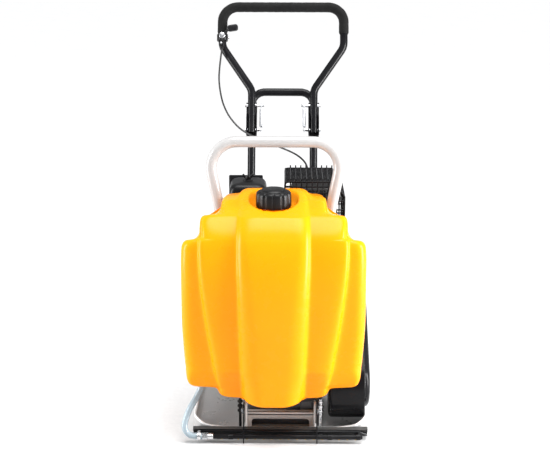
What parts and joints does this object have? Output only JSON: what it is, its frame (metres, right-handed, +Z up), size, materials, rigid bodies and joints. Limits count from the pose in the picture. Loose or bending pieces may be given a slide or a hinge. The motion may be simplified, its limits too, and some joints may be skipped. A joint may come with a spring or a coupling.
{
  "type": "plate compactor",
  "caption": "Forward plate compactor: flat ribbed steel plate with paving mat, large ribbed water tank with spray bar, small engine and belt drive, roll bar and folding handle.",
  "frame": {"origin": "on the ground under the middle of the base plate's width, at the underside of the paving mat", "axes": "+Z up, -Y the direction of travel (water tank side), +Y towards the handle, +X to the belt guard side"},
  "size_m": [0.4527, 0.8617, 0.9788],
  "materials": {
    "plate_paint": "light grey paint, worn bright at the edges",
    "frame_paint": "glossy warm light grey paint",
    "black_steel": "semi-gloss black paint",
    "mat_rubber": "black paving mat, dull",
    "rubber": "black moulded rubber",
    "foam": "black closed-cell foam",
    "cable_jacket": "smooth black cable jacket",
    "yellow_plastic": "rotation-moulded polyethylene, satin sheen",
    "black_plastic": "moulded, satin",
    "red_plastic": "moulded",
    "alloy": "as cast",
    "cast_iron": "machined and painted",
    "steel": "turned",
    "zinc_steel": "bright zinc plate",
    "brass": "turned",
    "clear_hose": "clear PVC, slightly milky"
  },
  "bodies": {
    "machine": {"base_plate": "plate_paint", "paving_mat": "mat_rubber", "mat_clamp_bar": "black_steel", "mat_strap_l": "black_steel", "mat_strap_r": "black_steel", "spray_bar": "black_steel", "spray_hose": "clear_hose", "hose_fitting": "zinc_steel", "water_tank": "yellow_plastic", "drain_valve": "brass", "hose_clamp": "zinc_steel", "engine_deck": "black_steel", "rubber_mount_front_l": "rubber", "rubber_mount_front_r": "rubber", "rubber_mount_rear_l": "rubber", "rubber_mount_rear_r": "rubber", "roll_bar": "frame_paint", "tank_bracket": "black_steel", "exciter_housing": "cast_iron", "exciter_cover_l": "cast_iron", "exciter_cover_r": "cast_iron", "drive_belt": "rubber", "belt_guard": "black_steel", "belt_guard_cover": "black_steel", "crankcase": "alloy", "cylinder": "alloy", "rocker_cover": "black_steel", "spark_plug_cap": "rubber", "fan_shroud": "black_steel", "recoil_cover": "black_steel", "engine_switch": "red_plastic", "fuel_tank": "black_steel", "carburetor": "alloy", "air_cleaner_base": "black_plastic", "muffler": "black_steel", "muffler_guard": "black_steel", "lower_handle": "black_steel", "throttle_cable": "cable_jacket"},
    "crank": {"crankshaft": "steel", "clutch_drum": "steel"},
    "exciter": {"exciter_shaft": "steel", "exciter_pulley": "steel"},
    "handle": {"upper_handle": "black_steel", "foam_grip": "foam", "throttle_clamp": "black_plastic", "lock_bolt_l": "black_steel", "lock_bolt_r": "black_steel", "pivot_bolt_l": "black_steel", "pivot_bolt_r": "black_steel", "handle_spring_l": "zinc_steel", "handle_spring_r": "zinc_steel"},
    "throttle": {"throttle_lever": "black_plastic"},
    "water_cap": {"tank_cap": "black_plastic"},
    "fuel_filler_cap": {"fuel_cap": "black_plastic"},
    "recoil_pull": {"recoil_grip": "rubber"},
    "water_valve": {"valve_lever": "red_plastic"},
    "choke": {"choke_lever": "black_plastic"},
    "filter_lid": {"air_cleaner_cover": "black_plastic"},
    "lid_nut": {"wing_nut": "black_plastic"},
    "dipstick": {"oil_dipstick": "black_plastic"}
  },
  "joints": [
    {"name": "crank_spin", "type": "hinge", "parent": "machine", "child": "crank", "pos_m": [0, 0.075, 0.29], "axis": [1, 0, 0], "continuous": true},
    {"name": "exciter_spin", "type": "hinge", "parent": "machine", "child": "exciter", "pos_m": [0, -0.185, 0.11], "axis": [1, 0, 0], "continuous": true},
    {"name": "handle_fold", "type": "hinge", "parent": "machine", "child": "handle", "pos_m": [0, 0.3572, 0.6379], "axis": [1, 0, 0], "range_deg": [0, 105], "deforming": ["throttle_cable"]},
    {"name": "throttle_turn", "type": "hinge", "parent": "handle", "child": "throttle", "pos_m": [-0.172, 0.45068, 0.88964], "axis": [0, -0.9135, 0.4067], "range_deg": [-50, 15]},
    {"name": "water_cap_lift", "type": "slide", "parent": "machine", "child": "water_cap", "axis": [0, 0, 1], "range_m": [0, 0.12]},
    {"name": "fuel_cap_lift", "type": "slide", "parent": "machine", "child": "fuel_filler_cap", "axis": [0, 0, 1], "range_m": [0, 0.06]},
    {"name": "recoil_start", "type": "slide", "parent": "machine", "child": "recoil_pull", "axis": [-0.3499, 0, 0.9368], "range_m": [0, 0.45], "stiffness_N_per_m": 40, "springref_m": -0.2},
    {"name": "water_valve_turn", "type": "hinge", "parent": "machine", "child": "water_valve", "pos_m": [-0.206, -0.252, 0.158], "axis": [1, 0, 0], "range_deg": [-90, 0]},
    {"name": "choke_turn", "type": "hinge", "parent": "machine", "child": "choke", "pos_m": [-0.1115, -0.026, 0.474], "axis": [1, 0, 0], "range_deg": [0, 55]},
    {"name": "filter_lid_lift", "type": "slide", "parent": "machine", "child": "filter_lid", "axis": [0, 0, 1], "range_m": [0, 0.08]},
    {"name": "lid_nut_turn", "type": "hinge", "parent": "filter_lid", "child": "lid_nut", "pos_m": [-0.0835, -0.038, 0.59], "axis": [0, 0, 1], "continuous": true},
    {"name": "dipstick_pull", "type": "slide", "parent": "machine", "child": "dipstick", "axis": [0, 1, 0], "range_m": [0, 0.1]}
  ],
  "couplings": [
    {"joint": "exciter_spin", "follows": "crank_spin", "ratio": 1.4286}
  ]
}
